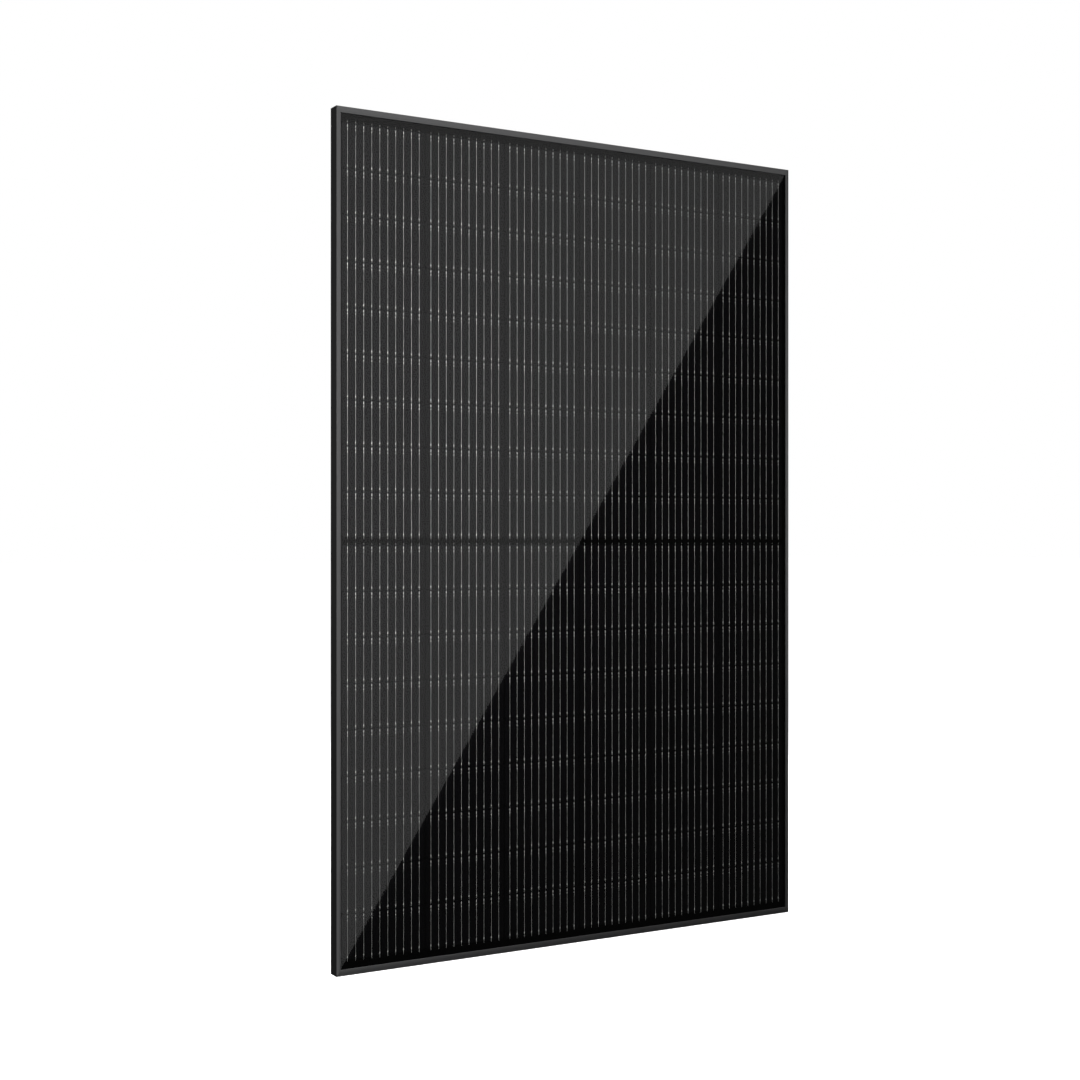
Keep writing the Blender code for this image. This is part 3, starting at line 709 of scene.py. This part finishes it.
def with_gland_hole(mesh, side, half, axis_y):
    """The tray with a round hole through its end wall."""
    ends = (side * (half.x - 2 * BOX_WALL), side * (half.x + BOX_WALL))
    drill = skin("cutter", [round_ring(GLAND_HOLE, x, axis_y) for x in ends], False)
    cutter = bpy.data.objects.new("cutter", drill)
    tray = bpy.data.objects.new("tray", mesh)
    for thing in (cutter, tray):
        bpy.context.scene.collection.objects.link(thing)
    cut = tray.modifiers.new("hole", "BOOLEAN")
    cut.object = cutter
    cut.solver = "EXACT"
    evaluated = tray.evaluated_get(bpy.context.evaluated_depsgraph_get())
    result = bpy.data.meshes.new_from_object(evaluated)
    for thing in (cutter, tray):
        bpy.data.objects.remove(thing)
    return result


def add_ribs(bm, half, field, panel):
    """Upright ribs to grip the lid by, from its sunken field up to the panel round it."""
    half_z = half.z - FIELD_INSET - 2 * FIELD_DEPTH
    profile = ((0, field), (0, panel - FIELD_DEPTH / 2), (FIELD_DEPTH / 2, panel))
    for number in range(GRIP_RIBS):
        x = (number - (GRIP_RIBS - 1) / 2) * GRIP_PITCH
        rib = [rounded_ring_at(x, 0, GRIP_WIDTH / 2 - inset, half_z - inset, y) for inset, y in profile]
        skin_rings(bm, rib, False)


def add_clips(bm, half, edge):
    """Two clips above the box and two below it, outside its walls."""
    profile = (
        (CLIP_TOE_EASE, edge - CLIP_DEPTH),
        (0, edge - (1 - CLIP_TOE_SHARE) * CLIP_DEPTH),
        (0, edge - BOX_ROUNDING),
        (CLIP_BACK_EASE, edge),
    )
    for side in (-1, 1):
        z = side * (half.z + LID_GAP + CLIP_THICKNESS / 2)
        for x in (-CLIP_AT, CLIP_AT):
            clip = [
                rounded_ring_at(x, z, CLIP_WIDTH / 2 - inset, CLIP_THICKNESS / 2 - inset, y)
                for inset, y in profile
            ]
            skin_rings(bm, clip, False)


def lid_mesh(half, skirt_end, back):
    """A lid with a skirt inside the walls, a raised panel with a ribbed field, and four clips outside."""
    panel, edge = back, back - PANEL_RISE
    under = edge - LID_THICKNESS
    field = panel - FIELD_DEPTH
    r = BOX_ROUNDING
    rings = [
        box_ring(half, SKIRT_INSIDE, under),
        box_ring(half, SKIRT_INSIDE, skirt_end),
        box_ring(half, SKIRT_OUTSIDE, skirt_end),
        box_ring(half, SKIRT_OUTSIDE, under),
        box_ring(half, 0, under),
    ]
    back_edge = arc((r, 0), r, math.pi, math.pi / 2, EDGE_STEPS)
    rings += [box_ring(half, inset, edge - r + depth) for inset, depth in back_edge]
    rings += [
        box_ring(half, PANEL_INSET - PANEL_RISE, edge),
        box_ring(half, PANEL_INSET - PANEL_RISE / 3, panel - PANEL_RISE / 4),
        box_ring(half, PANEL_INSET, panel),
        box_ring(half, FIELD_INSET, panel),
        box_ring(half, FIELD_INSET + FIELD_DEPTH, field),
    ]
    bm = bmesh.new()
    skin_rings(bm, rings, False)
    add_ribs(bm, half, field, panel)
    add_clips(bm, half, edge)
    return finish_mesh("box_lid", bm, MOULDED_EDGE_ANGLE)


def hexagon_ring(apothem, corner, x, axis_y):
    """A hexagon with its corners held inside the radius corner."""
    points = []
    for i in range(GLAND_POINTS):
        turn = 2 * math.pi * i / GLAND_POINTS
        from_flat = (turn + math.pi / 6) % (math.pi / 3) - math.pi / 6
        radius = min(apothem / math.cos(from_flat), corner)
        points.append((x, axis_y + radius * math.cos(turn), radius * math.sin(turn)))
    return points


def nut_mesh(start, end, axis_y):
    """A cap nut between two X values: hexagon flats, then a domed end with the cable's hole."""
    length = end - start

    def at(share):
        return start + share * length

    inner_wall = end - math.copysign(NUT_END_WALL, length)
    chamfer = math.copysign(NUT_CHAMFER, length)
    rings = [
        round_ring(NUT_BORE, start, axis_y),
        hexagon_ring(NUT_APOTHEM - NUT_EASE, NUT_CORNER - NUT_CHAMFER, start, axis_y),
        hexagon_ring(NUT_APOTHEM, NUT_CORNER, start + chamfer, axis_y),
        hexagon_ring(NUT_APOTHEM, NUT_CORNER, at(NUT_FLATS_SHARE), axis_y),
        round_ring(NUT_APOTHEM, at(NUT_FLATS_SHARE) + chamfer, axis_y),
    ]
    dome_start = at(NUT_FLATS_SHARE) + 2 * chamfer
    for step in range(EDGE_STEPS + 1):
        turn = step / EDGE_STEPS * math.pi / 2
        radius = NUT_DOME + (NUT_APOTHEM - NUT_DOME) * math.cos(turn)
        rings.append(round_ring(radius, dome_start + (end - dome_start) * math.sin(turn), axis_y))
    rings += [
        round_ring(NUT_HOLE + NUT_EASE, end, axis_y),
        round_ring(NUT_HOLE, end - chamfer / 2, axis_y),
        round_ring(NUT_HOLE, inner_wall, axis_y),
        round_ring(NUT_BORE, inner_wall, axis_y),
    ]
    return skin("gland_nut", rings, True)


def build_boxes(housing):
    """Finer trays, lids and cap nuts in place of the CAD's, each on the body of the piece it stands for."""
    for where, side in BOXES.items():
        low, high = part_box(f"box_base_{where}")
        lid_low, lid_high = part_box(f"box_lid_{where}")
        half = (high - low) / 2
        centre = Vector(((low.x + high.x) / 2, 0, (low.z + high.z) / 2))
        tray = base_mesh(half, low.y, high.y)
        if side:
            nut_low, nut_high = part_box(f"gland_nut_{where}")
            axis_y = (nut_low.y + nut_high.y) / 2
            tray = with_gland_hole(tray, side, half, axis_y)
            near, far = (nut_low.x, nut_high.x) if side > 0 else (nut_high.x, nut_low.x)
            nut = nut_mesh(near - centre.x, far - centre.x, axis_y)
            piece = add_piece(f"cap_nut_shell_{where}", nut, housing, centre, f"cap_nut_{where}")
            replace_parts(piece, f"gland_nut_{where}")
        base = add_piece(f"box_tray_{where}", tray, housing, centre)
        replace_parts(base, f"box_base_{where}")
        lid = lid_mesh(half, lid_low.y, lid_high.y)
        cover = add_piece(f"box_cover_{where}", lid, housing, centre, f"lid_{where}")
        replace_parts(cover, f"box_lid_{where}")


def finish_cad_nodes(housing):
    """Give every CAD node that shows the finish that its name calls for."""
    ribbon_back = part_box("bus_ribbon_top_1")[1].y
    upright, level = frame_material("anodised_upright", "z"), frame_material("anodised_level", "x")
    finishes = {
        "frame_rail_left": upright,
        "frame_rail_right": upright,
        "frame_rail_top": level,
        "frame_rail_bottom": level,
        "corner_key": metal_material("mill_aluminium", (0.62, 0.63, 0.64), 0.4, 6 * MM),
        "edge_seal": rubber_material("black_silicone", (0.008, 0.008, 0.008), 0.6),
        "backsheet": backsheet_material(),
        "bus_ribbon": ribbon_material(ribbon_back + 0.1 * MM),
        "box_adhesive": rubber_material("grey_black_silicone", (0.012, 0.012, 0.012), 0.55),
        "terminal": metal_material("tinned_terminal", (0.66, 0.66, 0.64), 0.35, 4 * MM),
        "bypass_diode": plastic_material("diode_epoxy", (0.022, 0.022, 0.022), 0.4),
        "gland_body": housing,
        "gland_seal": rubber_material("gland_rubber", (0.01, 0.01, 0.01), 0.65),
    }
    for name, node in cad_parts.items():
        for start, material in finishes.items():
            if name.startswith(start):
                for slot in node.material_slots:
                    slot.material = material


# ---------------------------------------------------------------- studio


def add_softbox(name, place, target, size, radiance):
    """A rectangular light that faces target; radiance is that of its surface, where white is 1."""
    light = bpy.data.lights.new(name, "AREA")
    light.shape = "RECTANGLE"
    light.size, light.size_y = size
    light.energy = radiance * math.pi * size[0] * size[1]
    lamp = bpy.data.objects.new(name, light)
    lamp.location = place
    lamp.rotation_euler = (Vector(target) - Vector(place)).to_track_quat("-Z", "Y").to_euler()
    lamp.visible_camera = False
    bpy.context.scene.collection.objects.link(lamp)
    return lamp


def add_glare_card():
    """A card whose straight edge is seen in the glass from its top right to its bottom left corner."""
    glass_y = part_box("front_glass")[0].y
    side_low, side_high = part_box("frame_rail_left")
    mirrored = Vector((CAMERA_PLACE.x, 2 * glass_y - CAMERA_PLACE.y, CAMERA_PLACE.z))
    reach = (mirrored.y + GLARE_DISTANCE) / (mirrored.y - glass_y)

    def seen_at(x, z):
        """The point of the card that the camera sees mirrored at X, Z on the glass."""
        return mirrored + reach * (Vector((x, glass_y, z)) - mirrored)

    left, right = side_low.x + SIDE_LIP, -side_low.x - SIDE_LIP
    low, high = END_LIP, side_high.z - END_LIP
    bottom, top, far = seen_at(left, low), seen_at(right, high), seen_at(left, high)
    along = (top - bottom).normalized()
    outward = Vector((-along.z, 0, along.x))
    length = (top - bottom).length + 2 * GLARE_BEYOND_ENDS
    width = (far - top).dot(outward) + GLARE_BEYOND_CORNER
    centre = (top + bottom) / 2 + outward * width / 2
    card = add_softbox("glare_card", centre, centre + Vector((0, 1, 0)), (length, width), GLARE_RADIANCE)
    facing = Vector((0, -1, 0))
    card.visible_diffuse = False
    card.rotation_euler = Matrix((along, facing.cross(along), facing)).transposed().to_euler()


def build_world():
    """White for the camera; a dim room for everything else."""
    world = bpy.data.worlds.new("studio")
    bpy.context.scene.world = world
    world.use_nodes = True
    tree = world.node_tree
    rays = add_node(tree, "ShaderNodeLightPath")
    glossy = rays.outputs["Is Glossy Ray"]
    dim = calculate(tree, "MULTIPLY_ADD", glossy, WORLD_GLOSS - WORLD_FILL, WORLD_FILL)
    strength = calculate(tree, "MAXIMUM", rays.outputs["Is Camera Ray"], dim)
    background = tree.nodes["Background"]
    background.inputs["Color"].default_value = (1.0, 1.0, 1.0, 1.0)
    tree.links.new(strength, background.inputs["Strength"])


def build_floor():
    """A white floor; reflections and bounced light pass it by."""
    bm = bmesh.new()
    half = FLOOR_HALF_WIDTH
    corners = rectangle(-half, half, -half, half)
    bm.faces.new([bm.verts.new((x, y, 0)) for x, y in corners])
    mesh = finish_mesh("floor", bm)
    material, tree, shader = start_material("studio_floor")
    set_inputs(
        tree,
        shader,
        Base_Color=(0.8, 0.8, 0.8),
        Roughness=0.9,
        Emission_Color=(1.0, 1.0, 1.0),
        Emission_Strength=1.0,
    )
    mesh.materials.append(material)
    floor = bpy.data.objects.new("floor", mesh)
    floor.visible_glossy = False
    floor.visible_diffuse = False
    bpy.context.scene.collection.objects.link(floor)


def build_studio():
    build_world()
    build_floor()
    add_glare_card()
    middle = (0, 0, module_middle())
    key = add_softbox("key", KEY_PLACE, KEY_TARGET, KEY_SIZE, KEY_RADIANCE)
    key.visible_glossy = False
    for name, (place, size, radiance) in SOFTBOXES.items():
        add_softbox(name, place, middle, size, radiance)
    bpy.context.scene.view_settings.view_transform = "Standard"


def build_camera():
    data = bpy.data.cameras.new("camera")
    data.lens = CAMERA_LENS
    data.sensor_width = CAMERA_SENSOR
    data.shift_y = CAMERA_SHIFT_Y
    camera = bpy.data.objects.new("camera", data)
    camera.location = CAMERA_PLACE
    camera.rotation_euler = (math.pi / 2, 0, -CAMERA_HEADING)
    bpy.context.scene.collection.objects.link(camera)
    bpy.context.scene.camera = camera


build_strings(cell_material(), wire_material())
build_rear_film(film_material())
build_pane(glass_material(), bonded_glass_material())
black_plastic = plastic_material("black_housing", (0.017, 0.017, 0.018), 0.5)
build_boxes(black_plastic)
finish_cad_nodes(black_plastic)
build_studio()
build_camera()
